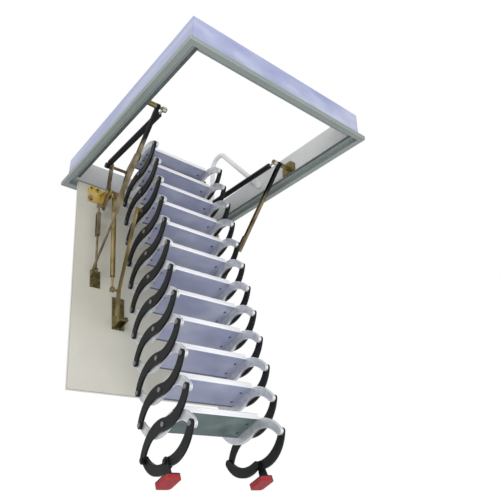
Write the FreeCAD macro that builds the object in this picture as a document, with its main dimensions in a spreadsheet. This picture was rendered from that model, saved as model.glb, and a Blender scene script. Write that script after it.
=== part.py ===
import FreeCAD, Part
import math
import os
import Sketcher
from FreeCAD import Placement, Rotation, Vector

# Attic ladder: a ceiling frame with a swinging hatch, and a scissor ladder carried by the hatch.
# Millimetres. X runs along the treads, +Y to the hinge side, +Z up. The origin is the centre of
# the frame's opening at the lower face of its lip.

os.makedirs("parts", exist_ok=True)
doc = FreeCAD.newDocument("AtticLadder")
sheet = doc.addObject("Spreadsheet::Sheet", "Sizes")

SIZES = [
    ("frame_wide", 700, "frame over its side walls"),
    ("frame_long", 900, "frame over its end walls"),
    ("wall_thick", 26, "wall rail, outer to inner face"),
    ("wall_top", 110, "top of the walls above the lip"),
    ("sheet_thick", 2, "folded frame sheet"),
    ("ledge_base", 17, "underside of the ledge that the walls stand on"),
    ("lip_out", 15, "lip beyond the walls"),
    ("lip_rear", 27, "lip beyond the hinge-side wall"),
    ("lip_rise", 15, "turned-up edge of the lip"),
    ("mitre_gap", 0.2, "joint between two wall rails"),
    ("seal_thick", 1.5, "rubber seal strip"),
    ("hinge_back", 32, "hinge axis in front of the outer face of the hinge-side wall"),
    ("hinge_rise", 10, "hinge axis above the lip's lower face"),
    ("hatch_turn", 77.8, "hatch angle from closed"),
    ("hatch_half", 319, "half the hatch width"),
    ("hatch_start", 8, "hinge axis to the near edge of the hatch"),
    ("hatch_reach", 861, "hinge axis to the far edge of the hatch"),
    ("hatch_back", 9, "hinge axis down to the room face of the hatch"),
    ("hatch_front", 5, "hinge axis up to the attic face of the hatch"),
    ("skin", 1.5, "hatch sheet"),
    ("seat_gap", 0.3, "gap between pieces that only rest on each other"),
    ("run_gap", 0.05, "radial clearance of a turning pin"),
    ("half_arm", 134.5, "scissor pivot to the end pivot of an arm"),
    ("open_angle", 21.87, "angle of the arms to the ladder's cross direction"),
    ("full_angle", 56, "the same angle with the ladder fully extended"),
    ("tilt_share", 0.32, "ladder tilt for each degree that the arms open"),
    ("ladder_slope", 72.85, "ladder to the floor"),
    ("top_pivot_reach", 168, "first scissor pivot in front of the hinge axis"),
    ("top_pivot_rise", 88, "first scissor pivot above the hinge axis"),
    ("carrier_back", 65, "carrier shaft behind the first scissor pivot"),
    ("carrier_drop", 43, "carrier shaft below the first scissor pivot"),
    ("strut_reach", 536, "strut pin in front of the hinge axis"),
    ("strut_rise", 35, "strut pin above the hinge axis"),
    ("rail_reach", 333, "lower end of the handrail in front of the hinge axis"),
    ("rail_rise", 75, "lower end of the handrail above the hinge axis"),
    ("rail_height", 446, "corner of the handrail above the lip"),
    ("arm_bow", 24, "how far each half of an arm bows off its chord"),
    ("arm_mid", 36, "arm width at the scissor pivot"),
    ("arm_wide", 29, "arm width halfway along"),
    ("arm_end", 22.5, "arm width at the end pivots"),
    ("silver_thick", 9.5, "die-cast arm"),
    ("black_thick", 7, "pressed arm"),
    ("side_gap", 0.5, "gap between arms side by side"),
    ("bolt_hole", 5, "radius of the scissor bolts"),
    ("bolt_head", 7, "radius of a bolt head"),
    ("head_thick", 3, "height of a bolt head"),
    ("tread_half", 139.7, "half the tread length"),
    ("tread_front", 60, "tread in front of the pivot"),
    ("tread_rear", 58, "tread behind the pivot"),
    ("tread_base", 10, "tread underside above the pivot"),
    ("tread_deep", 18, "tread thickness"),
    ("tread_wall", 2, "wall of the tread extrusion"),
    ("foot_drop", 39, "foot pivot down to the foot plate"),
    ("foot_front", 22, "foot plate in front of the foot pivot"),
    ("foot_rear", 42, "foot plate behind the foot pivot"),
    ("foot_inner", 26, "foot plate inside its bracket"),
    ("foot_outer", 16, "foot plate outside its bracket"),
    ("pad_thick", 12, "rubber foot pad"),
    ("rail_radius", 11, "handrail tube"),
]
for row, (alias, value, note) in enumerate(SIZES, start=1):
    sheet.set("A%d" % row, alias)
    sheet.set("B%d" % row, str(value))
    sheet.set("C%d" % row, note)
    sheet.setAlias("B%d" % row, alias)
doc.recompute()


def size(alias):
    """The number in the sheet's cell of that alias."""
    return float(sheet.get(alias))


def bound(item, prop, text):
    """Bind one property to an expression; each word of the sheet is written as S.word."""
    item.setExpression(prop, text.replace("S.", "Sizes."))


def box(name, sizes, corner):
    """A Part::Box with its three sizes and its corner bound to the sheet."""
    item = doc.addObject("Part::Box", name)
    for prop, text in zip(("Length", "Width", "Height"), sizes):
        bound(item, prop, text)
    for axis, text in zip("xyz", corner):
        bound(item, "Placement.Base." + axis, text)
    return item


def cut(name, base, tool):
    """The first object less the second."""
    item = doc.addObject("Part::Cut", name)
    item.Base = base
    item.Tool = tool
    return item


def feature(name, solids, place=Placement()):
    """A Part::Feature that groups finished solids and is then placed."""
    item = doc.addObject("Part::Feature", name)
    item.Shape = solids[0] if len(solids) == 1 else Part.makeCompound(solids)
    item.Placement = place
    nodes.append(item)
    return item


def prism(points, near, far):
    """A polygon of (y, z) points, extruded along X from near to far."""
    corners = [Vector(near, y, z) for y, z in points]
    return Part.Face(Part.makePolygon(corners + corners[:1])).extrude(Vector(far - near, 0, 0))


def slab(front_y, rear_y, low, high):
    """The corners of an upright rectangle of (y, z) points."""
    return [(front_y, low), (rear_y, low), (rear_y, high), (front_y, high)]


def rod(near, far, y, z, radius):
    """A round bar along X."""
    return Part.makeCylinder(radius, far - near, Vector(near, y, z), Vector(1, 0, 0))


def plate_link(start, end, radius, near, far):
    """A flat link with round ends about two (y, z) points."""
    along = Vector(0, end[0] - start[0], end[1] - start[1])
    side = Vector(1, 0, 0).cross(along).normalize() * radius
    tip = Vector(along).normalize() * radius
    first = Vector(near, start[0], start[1])
    last = Vector(near, end[0], end[1])
    wire = Part.Wire([
        Part.makeLine(first + side, last + side),
        Part.Arc(last + side, last + tip, last - side).toShape(),
        Part.makeLine(last - side, first - side),
        Part.Arc(first - side, first - tip, first + side).toShape(),
    ])
    return Part.Face(wire).extrude(Vector(far - near, 0, 0))


def mirrored(solids):
    """The solids and their mirror images in the plane X = 0."""
    return solids + [one.mirror(Vector(0, 0, 0), Vector(1, 0, 0)) for one in solids]


def joined(first, *others):
    """One solid from pieces that overlap."""
    return first.fuse(list(others)).removeSplitter()


def aimed(start, end):
    """The placement that lays local +Y along the way from start to end, both (y, z)."""
    turn = math.degrees(math.atan2(end[1] - start[1], end[0] - start[0]))
    return Placement(Vector(0, start[0], start[1]), Rotation(Vector(1, 0, 0), turn))


def span(start, end):
    """Distance between two (y, z) points."""
    return math.hypot(end[0] - start[0], end[1] - start[1])


nodes = []
RUN = size("run_gap")
SEAT = size("seat_gap")

# ---------------------------------------------------------------- frame: wall rails
# Each rail is a folded channel, open at the top, with mitred ends.
HINGE_Y = size("frame_long") / 2 - size("hinge_back")
HINGE_Z = size("hinge_rise")
INNER_X = size("frame_wide") / 2 - size("wall_thick")
INNER_Y = size("frame_long") / 2 - size("wall_thick")
WALL_BASE = size("ledge_base") + size("sheet_thick")


def wall_rail(length):
    """One channel along Y with its outer face at x = 0 and its body toward -x, mitred at both ends."""
    thick = size("wall_thick")
    sheet_thick = size("sheet_thick")
    tall = size("wall_top") - WALL_BASE
    rail = Part.makeBox(thick, length, tall, Vector(-thick, -length / 2, WALL_BASE))
    floor = Vector(sheet_thick - thick, -length / 2, WALL_BASE + sheet_thick)
    hollow = Part.makeBox(thick - 2 * sheet_thick, length, tall, floor)
    rail = rail.cut(hollow)
    for end in (1, -1):
        tip = end * (length / 2 - size("mitre_gap"))
        corner = [
            Vector(0, tip, 0),
            Vector(-2 * thick, tip - end * 2 * thick, 0),
            Vector(-2 * thick, tip + end * thick, 0),
            Vector(0, tip + end * thick, 0),
        ]
        wedge = Part.Face(Part.makePolygon(corner + corner[:1])).extrude(Vector(0, 0, 2 * size("wall_top")))
        rail = rail.cut(wedge)
    return rail


walls = []
for quarter in range(4):
    across = size("frame_long") if quarter % 2 else size("frame_wide")
    along = size("frame_wide") if quarter % 2 else size("frame_long")
    rail = wall_rail(along)
    rail.Placement = Placement(Vector(0, 0, 0), Rotation(Vector(0, 0, 1), 90 * quarter)).multiply(
        Placement(Vector(across / 2, 0, 0), Rotation())
    )
    walls.append(rail)
feature("frame_walls", walls)

# ---------------------------------------------------------------- frame: flange and lip
# Five rings, each an outer box less an inner box: ledge, inner upstand, lip, outer upstand, return.


def ring(name, outer, inner, low, high, outer_rear=None):
    """A rectangular ring; outer and inner are expressions for how far it lies outside the walls."""
    rear = outer_rear or outer
    solid = box(
        name + "_outside",
        (
            "S.frame_wide + 2 * (%s)" % outer,
            "S.frame_long + (%s) + (%s)" % (outer, rear),
            "(%s) - (%s)" % (high, low),
        ),
        ("-S.frame_wide / 2 - (%s)" % outer, "-S.frame_long / 2 - (%s)" % outer, low),
    )
    inner_rear = inner[1] if isinstance(inner, tuple) else inner
    inner = inner[0] if isinstance(inner, tuple) else inner
    hole = box(
        name + "_inside",
        (
            "S.frame_wide + 2 * (%s)" % inner,
            "S.frame_long + (%s) + (%s)" % (inner, inner_rear),
            "(%s) - (%s) + 2" % (high, low),
        ),
        ("-S.frame_wide / 2 - (%s)" % inner, "-S.frame_long / 2 - (%s)" % inner, "(%s) - 1" % low),
    )
    return cut(name, solid, hole)


flange_rings = [
    ring("ledge", "-1", "-S.wall_thick", "S.ledge_base", "S.ledge_base + S.sheet_thick"),
    ring("upstand", "-1", "-1 - S.sheet_thick", "0", "S.ledge_base + S.sheet_thick"),
    ring("lip", "S.lip_out", "-1 - S.sheet_thick", "0", "S.sheet_thick", "S.lip_rear"),
    ring(
        "lip_edge", "S.lip_out", ("S.lip_out - S.sheet_thick", "S.lip_rear - S.sheet_thick"),
        "0", "S.lip_rise", "S.lip_rear",
    ),
    ring("lip_return", "S.lip_out", "S.seat_gap", "S.lip_rise - S.sheet_thick", "S.lip_rise", "S.lip_rear"),
]
flange = doc.addObject("Part::MultiFuse", "frame_flange")
flange.Shapes = flange_rings
nodes.append(flange)

# ---------------------------------------------------------------- frame: seal
# A rubber strip under the ledge on three sides; the hinge side has none.
SEAL_IN = size("hatch_half") - 1
SEAL_OUT = SEAL_IN + 10
seal_low = size("ledge_base") - size("seal_thick")
FRONT_OUT = HINGE_Y - size("hatch_reach") - 2
SEAL_REAR = INNER_Y - 20
seal_corner = Vector(-SEAL_OUT, FRONT_OUT, seal_low)
seal = Part.makeBox(2 * SEAL_OUT, SEAL_REAR - FRONT_OUT, size("seal_thick"), seal_corner)
seal_hole = Part.makeBox(
    2 * SEAL_IN, size("frame_long"), 4 * size("seal_thick"), Vector(-SEAL_IN, FRONT_OUT + 10, seal_low - 1)
)
feature("seal_strip", [seal.cut(seal_hole)])

# ---------------------------------------------------------------- hatch: axis and placement
TURN = math.radians(size("hatch_turn"))
HATCH_PLACE = Placement(Vector(0, HINGE_Y, HINGE_Z), Rotation(Vector(1, 0, 0), size("hatch_turn")))


def world(down, off):
    """World (y, z) of a hatch point: down from the hinge along the hatch, off its mid plane."""
    y = HINGE_Y - down * math.cos(TURN) - off * math.sin(TURN)
    z = HINGE_Z - down * math.sin(TURN) + off * math.cos(TURN)
    return (y, z)


def on_hatch(point):
    """Hatch-local (y, z) of a world (y, z) point; local y is minus the way down."""
    dy = point[0] - HINGE_Y
    dz = point[1] - HINGE_Z
    return (dy * math.cos(TURN) + dz * math.sin(TURN), -dy * math.sin(TURN) + dz * math.cos(TURN))


def hatch_box(name, inset, low, high):
    """A box over the hatch outline, drawn in by inset, between two heights above the hinge axis."""
    return box(
        name,
        (
            "2 * (S.hatch_half - (%s))" % inset,
            "S.hatch_reach - S.hatch_start - 2 * (%s)" % inset,
            "(%s) - (%s)" % (high, low),
        ),
        ("-(S.hatch_half - (%s))" % inset, "-(S.hatch_reach - (%s))" % inset, low),
    )


def set_on_hatch(item):
    """Hang a finished object on the hatch and keep it as a node."""
    item.Placement = HATCH_PLACE
    bound(item, "Placement.Base.y", "S.frame_long / 2 - S.hinge_back")
    bound(item, "Placement.Base.z", "S.hinge_rise")
    bound(item, "Placement.Rotation.Angle", "S.hatch_turn")
    nodes.append(item)


# ---------------------------------------------------------------- hatch: tray, core and cover
tray_top = "S.hatch_front - S.skin - 0.2"
tray = cut(
    "hatch_shell",
    hatch_box("hatch_shell_blank", "0", "-S.hatch_back", tray_top),
    hatch_box("hatch_shell_hollow", "S.skin", "S.skin - S.hatch_back", "S.hatch_front + 2"),
)
set_on_hatch(tray)
core = cut(
    "hatch_core",
    hatch_box("hatch_core_blank", "S.skin + S.seat_gap", "S.skin + S.seat_gap - S.hatch_back", tray_top),
    hatch_box("hatch_core_trim", "S.skin", tray_top, "S.hatch_front + 3"),
)
set_on_hatch(core)


def sketched_body(name, loops, length):
    """A PartDesign body: closed loops of (y, z) points, padded along +X and centred on X = 0."""
    body = doc.addObject("PartDesign::Body", name)
    sketch = body.newObject("Sketcher::SketchObject", name + "_profile")
    plane = [one for one in body.Origin.OriginFeatures if one.Role == "YZ_Plane"][0]
    sketch.AttachmentSupport = [(plane, "")]
    sketch.MapMode = "FlatFace"
    bound(sketch, "AttachmentOffset.Base.z", "-(%s) / 2" % length)
    for loop in loops:
        first = sketch.GeometryCount
        for start, end in zip(loop, loop[1:] + loop[:1]):
            line = Part.LineSegment(Vector(start[0], start[1], 0), Vector(end[0], end[1], 0))
            sketch.addGeometry(line, False)
        for side in range(len(loop)):
            following = first + (side + 1) % len(loop)
            sketch.addConstraint(Sketcher.Constraint("Coincident", first + side, 2, following, 1))
    pad = body.newObject("PartDesign::Pad", name + "_pad")
    pad.Profile = sketch
    bound(pad, "Length", length)
    body.Tip = pad
    return body


cover_low = size("hatch_front") - size("skin")
cover_loop = [
    (-size("hatch_reach"), cover_low),
    (-size("hatch_start"), cover_low),
    (-size("hatch_start"), size("hatch_front")),
    (-size("hatch_reach"), size("hatch_front")),
]
set_on_hatch(sketched_body("hatch_cover", [cover_loop], "2 * S.hatch_half"))

# ---------------------------------------------------------------- hinges
# Three butt hinges: a frame leaf under the ledge, a hatch leaf on the cover, and a pin.
KNUCKLE = 5
PIN = 2.5
LEAF_HALF = 30
LEAF_THICK = 1.8
BARREL_HALF = 9.5
HINGE_SPOTS = (-150, 0, 150)
frame_leaves = []
hatch_leaves = []
front = size("hatch_front")
for centre in HINGE_SPOTS:
    leaf_top = size("ledge_base") - 0.2
    leaf_side = slab(INNER_Y - 0.5, INNER_Y + 20, leaf_top - LEAF_THICK, leaf_top)
    web_side = slab(HINGE_Y + 3.5, INNER_Y, HINGE_Z - 2, leaf_top)
    leaf = prism(leaf_side, centre - LEAF_HALF, centre + LEAF_HALF)
    web = prism(web_side, centre - BARREL_HALF, centre + BARREL_HALF)
    knuckle = rod(centre - BARREL_HALF, centre + BARREL_HALF, HINGE_Y, HINGE_Z, KNUCKLE)
    bore = rod(centre - BARREL_HALF - 1, centre + BARREL_HALF + 1, HINGE_Y, HINGE_Z, PIN + RUN)
    frame_leaves.append(joined(leaf, web, knuckle).cut(bore))
    plate = prism(slab(-32, -7, front, front + 2), centre - LEAF_HALF, centre + LEAF_HALF)
    arms = []
    for end in (-1, 1):
        low = min(centre + end * (BARREL_HALF + 0.5), centre + end * LEAF_HALF)
        high = low + LEAF_HALF - BARREL_HALF - 0.5
        arms.append(rod(low, high, 0, 0, KNUCKLE))
        arms.append(prism([(-7.5, front), (-3, 2), (2, 3.5), (2, front + 2), (-7.5, front + 2)], low, high))
    arms.append(rod(centre - LEAF_HALF, centre + LEAF_HALF, 0, 0, PIN))
    hatch_leaves.append(joined(plate, *arms))
feature("hinge_leaves", hatch_leaves, HATCH_PLACE)

# ---------------------------------------------------------------- planes across the ladder
# Each moving layer has its own distance from the middle, so that layers pass without touching.
SILVER_IN = size("tread_half") + SEAT
SILVER_OUT = SILVER_IN + size("silver_thick")
BLACK_IN = SILVER_OUT + size("side_gap")
BLACK_OUT = BLACK_IN + size("black_thick")
HEAD_IN = BLACK_OUT + SEAT
HEAD_OUT = HEAD_IN + size("head_thick")
LINK = 6
EAR = 5
BEARING = 6
CARRIER_IN = HEAD_OUT + 0.7
CARRIER_OUT = CARRIER_IN + LINK
PROP_IN = CARRIER_OUT + 8
PROP_OUT = PROP_IN + LINK
SPRING_X = PROP_OUT + 22
LUG_IN = SPRING_X + 10
LUG_OUT = LUG_IN + EAR
CRANK_IN = LUG_OUT + EAR + 4
CRANK_OUT = CRANK_IN + LINK
GAS_X = CRANK_OUT + 15
BAR_IN = GAS_X + 11.5
BAR_OUT = BAR_IN + EAR
BUCKLE_X = BAR_IN - 8.5
CHANNEL_IN = BAR_OUT + size("side_gap")
CHANNEL_OUT = CHANNEL_IN + 12

# ---------------------------------------------------------------- frame: strut brackets
# A plate on each side wall with the pin that carries the gas spring and the stay.
STRUT_PIN = (HINGE_Y - size("strut_reach"), HINGE_Z + size("strut_rise"))
STRUT_RADIUS = 5
STRUT_COLLAR = 9
STRUT_TIP = GAS_X - BEARING - 4
wall_face = INNER_X - SEAT
plate_shape = [(-35, -21), (35, -21), (35, 11), (14, 31), (-14, 31), (-35, 11)]
bracket_outline = [(STRUT_PIN[0] + y, STRUT_PIN[1] + z) for y, z in plate_shape]
bracket = joined(
    prism(bracket_outline, wall_face - 4, wall_face),
    rod(CHANNEL_OUT + SEAT, wall_face - 2, STRUT_PIN[0], STRUT_PIN[1], STRUT_COLLAR),
    rod(STRUT_TIP, wall_face - 2, STRUT_PIN[0], STRUT_PIN[1], STRUT_RADIUS),
    rod(STRUT_TIP, GAS_X - BEARING - SEAT, STRUT_PIN[0], STRUT_PIN[1], STRUT_COLLAR - 1),
)
feature("frame_fittings", frame_leaves + mirrored([bracket]))

# ---------------------------------------------------------------- frame: handrail
# One bent tube on the right wall: a slope up from the front and a leg down at the rear.
RAIL_X = INNER_X - SEAT - size("rail_radius")
RAIL_LOW = (HINGE_Y - size("rail_reach"), HINGE_Z + size("rail_rise"))
RAIL_LEG = INNER_Y - 24
RAIL_TOP = size("rail_height")
BEND = 50
slope = Vector(0, RAIL_LEG - RAIL_LOW[0], RAIL_TOP - RAIL_LOW[1]).normalize()
corner = Vector(RAIL_X, RAIL_LEG, RAIL_TOP)
half_turn = math.acos(slope.z) / 2
set_back = BEND * math.tan(math.radians(90) - half_turn)
bend_in = corner - slope * set_back
bend_out = corner - Vector(0, 0, set_back)
to_centre = (bend_in + bend_out) * 0.5 - corner
to_centre.normalize()
centre_point = corner + to_centre * (BEND / math.sin(half_turn))
bend_mid = centre_point - to_centre * BEND
rail_start = Vector(RAIL_X, RAIL_LOW[0], RAIL_LOW[1])
path = Part.Wire([
    Part.makeLine(rail_start, bend_in),
    Part.Arc(bend_in, bend_mid, bend_out).toShape(),
    Part.makeLine(bend_out, Vector(RAIL_X, RAIL_LEG, 66)),
])
rail_section = Part.Wire([Part.Circle(rail_start, slope, size("rail_radius")).toShape()])
rail_tube = path.makePipeShell([rail_section], True, True)
tab_low = (RAIL_LOW[0] - 22, RAIL_LOW[1] - 25)
tab_high = (RAIL_LOW[0] + 6, RAIL_LOW[1] + 7)
tabs = [
    plate_link(tab_low, tab_high, 13, wall_face - 5, wall_face),
    plate_link((RAIL_LEG, 44), (RAIL_LEG, 74), 12.5, wall_face - 5, wall_face),
]
feature("handrail", [joined(rail_tube, *tabs)])

# ---------------------------------------------------------------- hatch: plates and brackets
SMALL_PIN = (-430, 35)
LARGE_PIN = (-614, 50)
CRANK_PIVOT = (-86, 80)
CRANK_TAIL = (-140, 48)
LUG_PIN = (-103, 80)
PIN_RADIUS = 5
CRANK_PIN = 6
CAP_RADIUS = 10
CAP = 4
plate_top = front + 3
ear_foot = front + 1
PLATE_END = -93
PLATE_OUT = CHANNEL_OUT + 2
crank_ear = [(PLATE_END, ear_foot), (-40, ear_foot), (-72, 92), (-94, 92), (-100, 80)]
lug_ear = [(PLATE_END, ear_foot), (-62, ear_foot), (-90, 82), (-96, 90), (-110, 90), (-113, 80)]
hinge_plate = joined(
    prism(slab(PLATE_END, -12, front, plate_top), CRANK_IN - EAR - 1, PLATE_OUT),
    prism(slab(PLATE_END, -62, front, plate_top), LUG_IN, CRANK_IN - EAR),
    prism(crank_ear, CRANK_IN - EAR - 1, CRANK_IN - 1),
    rod(CRANK_IN - EAR - 1, CRANK_OUT + CAP, CRANK_PIVOT[0], CRANK_PIVOT[1], CRANK_PIN),
    rod(CRANK_OUT + SEAT, CRANK_OUT + CAP, CRANK_PIVOT[0], CRANK_PIVOT[1], CAP_RADIUS),
    prism(lug_ear, LUG_IN, LUG_OUT),
    rod(SPRING_X - BEARING - 1, LUG_OUT, LUG_PIN[0], LUG_PIN[1], PIN_RADIUS),
)
small_out = BAR_IN - size("side_gap")
small_ear = [(-444, ear_foot), (-416, ear_foot), (-422, 42), (-438, 42)]
small_bracket = joined(
    prism(slab(-482, -412, front, plate_top), small_out - 38, small_out),
    prism(small_ear, small_out - 3, small_out),
    rod(BUCKLE_X - BEARING, small_out, SMALL_PIN[0], SMALL_PIN[1], PIN_RADIUS),
)
large_out = PROP_IN - 1
large_ear = [(-628, ear_foot), (-584, ear_foot), (-606, 57), (-622, 57)]
large_bracket = joined(
    prism(slab(-632, -505, front, plate_top), large_out - 46, large_out),
    prism(large_ear, large_out - CAP, large_out),
    prism(large_ear, large_out - 34, large_out - 30),
    rod(large_out - 38, PROP_OUT + CAP, LARGE_PIN[0], LARGE_PIN[1], PIN_RADIUS),
    rod(PROP_OUT + SEAT, PROP_OUT + CAP, LARGE_PIN[0], LARGE_PIN[1], CAP_RADIUS - 2),
)
feature("hatch_brackets", mirrored([hinge_plate, small_bracket, large_bracket]), HATCH_PLACE)

# ---------------------------------------------------------------- cranks and ladder carrier
TOP_PIVOT = (HINGE_Y - size("top_pivot_reach"), HINGE_Z + size("top_pivot_rise"))
CARRIER_AXIS = (TOP_PIVOT[0] + size("carrier_back"), TOP_PIVOT[1] - size("carrier_drop"))
CRANK_TOP = on_hatch(CARRIER_AXIS)
SHAFT = 6
CRANK_HALF = 13
crank = joined(
    plate_link(CRANK_TOP, CRANK_PIVOT, CRANK_HALF + 2, CRANK_IN, CRANK_OUT),
    plate_link(CRANK_PIVOT, CRANK_TAIL, CRANK_HALF, CRANK_IN, CRANK_OUT),
    rod(CRANK_IN, BUCKLE_X + BEARING, CRANK_TAIL[0], CRANK_TAIL[1], PIN_RADIUS),
)
crank = crank.cut(rod(CRANK_IN - 1, CRANK_OUT + 1, CRANK_TOP[0], CRANK_TOP[1], SHAFT + RUN))
crank = crank.cut(rod(CRANK_IN - 1, CRANK_OUT + 1, CRANK_PIVOT[0], CRANK_PIVOT[1], CRANK_PIN + RUN))
feature("cranks", mirrored([crank]), HATCH_PLACE)

shaft_end = GAS_X - 8.5
carrier_pieces = [rod(-CARRIER_OUT, CARRIER_OUT, TOP_PIVOT[0], TOP_PIVOT[1], size("bolt_hole"))]
for side in (-1, 1):
    inner = min(side * CARRIER_IN, side * CARRIER_OUT)
    shaft_start = min(side * CARRIER_IN, side * shaft_end)
    head_start = min(side * (CRANK_OUT + SEAT), side * (CRANK_OUT + CAP))
    carrier_pieces.append(plate_link(TOP_PIVOT, CARRIER_AXIS, CRANK_HALF, inner, inner + LINK))
    carrier_pieces.append(
        rod(shaft_start, shaft_start + shaft_end - CARRIER_IN, CARRIER_AXIS[0], CARRIER_AXIS[1], SHAFT)
    )
    carrier_pieces.append(
        rod(head_start, head_start + CAP - SEAT, CARRIER_AXIS[0], CARRIER_AXIS[1], CAP_RADIUS)
    )
feature("ladder_carrier", [joined(*carrier_pieces)])

# ---------------------------------------------------------------- turnbuckles
# An eye at each end, two threaded rods, and an open body near the upper end.
buckle_long = span(CRANK_TAIL, SMALL_PIN)
ALONG = Vector(0, 1, 0)
EYE = 10
THREAD = 4
BODY_START = 36
BODY_LONG = 104
BODY_END = 12
buckle_slot = Part.makeBox(16, BODY_LONG - 2 * BODY_END, 9, Vector(-8, BODY_START + BODY_END, -4.5))
buckle_body = Part.makeBox(14, BODY_LONG, 16, Vector(-7, BODY_START, -8)).cut(buckle_slot)
lower_start = BODY_START + BODY_LONG - BODY_END + 2
buckle = joined(
    buckle_body,
    Part.makeCylinder(THREAD, BODY_START, Vector(0, 6, 0), ALONG),
    Part.makeCylinder(THREAD, buckle_long - 4 - lower_start, Vector(0, lower_start, 0), ALONG),
    rod(-5, 5, 0, 0, EYE),
    rod(-5, 5, buckle_long, 0, EYE),
)
buckle = buckle.cut(rod(-8, 8, 0, 0, PIN_RADIUS + RUN)).cut(rod(-8, 8, buckle_long, 0, PIN_RADIUS + RUN))
buckle.Placement = Placement(Vector(BUCKLE_X, 0, 0), Rotation()).multiply(aimed(CRANK_TAIL, SMALL_PIN))
feature("turnbuckles", mirrored([buckle]), HATCH_PLACE)

# ---------------------------------------------------------------- gas springs
# The rod's eye turns on the frame bracket's pin; the cylinder's eye lies beside the crank shaft's end.
gas_long = span(STRUT_PIN, CARRIER_AXIS)
GAS_ROD = 4
GAS_TUBE = 11
GAS_SHOWN = 32
gas_place = Placement(Vector(GAS_X, 0, 0), Rotation()).multiply(aimed(STRUT_PIN, CARRIER_AXIS))
GAS_ROD_LONG = 212
gas_rod = joined(
    rod(-BEARING, BEARING, 0, 0, EYE),
    Part.makeCylinder(GAS_ROD, GAS_ROD_LONG, Vector(0, 6, 0), ALONG),
)
gas_rod = gas_rod.cut(rod(-BEARING - 1, BEARING + 1, 0, 0, STRUT_RADIUS + RUN))
gas_rod.Placement = gas_place
feature("gas_rods", mirrored([gas_rod]))
NECK = 24
gas_tube = Part.makeCylinder(GAS_TUBE, gas_long - GAS_SHOWN - NECK - 2, Vector(0, GAS_SHOWN, 0), ALONG)
gas_neck = Part.makeCylinder(GAS_ROD + 1, NECK, Vector(0, gas_long - NECK - 6, 0), ALONG)
gas_body = joined(gas_tube, gas_neck, rod(-8, 8, gas_long, 0, GAS_TUBE))
gas_bore = Part.makeCylinder(GAS_ROD + 2 * RUN, GAS_ROD_LONG - 12, Vector(0, GAS_SHOWN - 1, 0), ALONG)
gas_body = gas_body.cut(gas_bore)
gas_body.Placement = gas_place
feature("gas_cylinders", mirrored([gas_body]))

# ---------------------------------------------------------------- stays
# A channel turns on the frame bracket's pin; a bar with a shoe slides along it down to the hatch.
SMALL_WORLD = world(-SMALL_PIN[0], SMALL_PIN[1])
stay_long = span(STRUT_PIN, SMALL_WORLD)
CHANNEL_LONG = 380
stay_place = aimed(STRUT_PIN, SMALL_WORLD)
CHANNEL_WIDE = 15
GROOVE_WIDE = 11
channel_depth = CHANNEL_OUT - CHANNEL_IN
channel = joined(
    Part.makeBox(channel_depth, CHANNEL_LONG, CHANNEL_WIDE, Vector(CHANNEL_IN, 0, -CHANNEL_WIDE / 2)),
    rod(CHANNEL_IN, CHANNEL_OUT, 0, 0, EYE),
)
groove_corner = Vector(CHANNEL_IN - 1, 2 * EYE, -GROOVE_WIDE / 2)
groove = Part.makeBox(channel_depth - 3, CHANNEL_LONG, GROOVE_WIDE, groove_corner)
channel = channel.cut(groove).cut(rod(CHANNEL_IN - 1, CHANNEL_OUT + 1, 0, 0, STRUT_RADIUS + RUN))
channel.Placement = stay_place
feature("stay_channels", mirrored([channel]))
LAP = 60
SHOE_WIDE = 9
bar_start = CHANNEL_LONG - LAP
stay_bar = joined(
    plate_link((bar_start, 0), (stay_long, 0), 6, BAR_IN, BAR_OUT),
    Part.makeBox(7, LAP / 2, SHOE_WIDE, Vector(BAR_OUT - 1, bar_start, -SHOE_WIDE / 2)),
)
stay_bar.Placement = stay_place
feature("stay_bars", mirrored([stay_bar]))

# ---------------------------------------------------------------- ladder frame of reference
A = size("half_arm")
PHI = math.radians(size("open_angle"))
SLOPE = math.radians(size("ladder_slope"))
LADDER_TURN = size("ladder_slope") - 90
PITCH = 2 * A * math.sin(PHI)
STAGES = 12


def pivot(stage):
    """World (y, z) of the scissor pivot of a stage; stage 12 is the foot pivot."""
    reach = stage * PITCH
    return (TOP_PIVOT[0] - reach * math.cos(SLOPE), TOP_PIVOT[1] - reach * math.sin(SLOPE))


def at_pivot(stage, turn):
    """The placement at a stage's pivot, turned about X by that angle in degrees."""
    spot = pivot(stage)
    return Placement(Vector(0, spot[0], spot[1]), Rotation(Vector(1, 0, 0), turn))


def half_outline(way, bow, root, closed):
    """Edges of half an arm from the pivot toward way * Y, bowed toward bow * Z.

    Both long edges are arcs from the width at the root, through the widened middle, to the end.
    """
    rise = size("arm_bow")
    radius = (A * A / 4 + rise * rise) / (2 * rise)
    lean = math.asin(A / 2 / radius)

    def spot(y, z):
        return Vector(0, way * y, bow * z)

    def edge(side):
        wide = side / 2
        start = spot(-math.sin(lean) * root * wide, math.cos(lean) * root * wide)
        middle = spot(A / 2, rise + size("arm_wide") * wide)
        last = spot(
            A + math.sin(lean) * size("arm_end") * wide, math.cos(lean) * size("arm_end") * wide
        )
        return start, middle, last

    outer = edge(1)
    inner = edge(-1)
    end_cap = spot(A + math.cos(lean) * size("arm_end") / 2, -math.sin(lean) * size("arm_end") / 2)
    edges = [
        Part.Arc(*outer).toShape(),
        Part.Arc(outer[2], end_cap, inner[2]).toShape(),
        Part.Arc(inner[2], inner[1], inner[0]).toShape(),
    ]
    if closed:
        back = spot(-math.cos(lean) * root / 2, -math.sin(lean) * root / 2)
        edges.append(Part.Arc(inner[0], back, outer[0]).toShape())
    return edges


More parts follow.
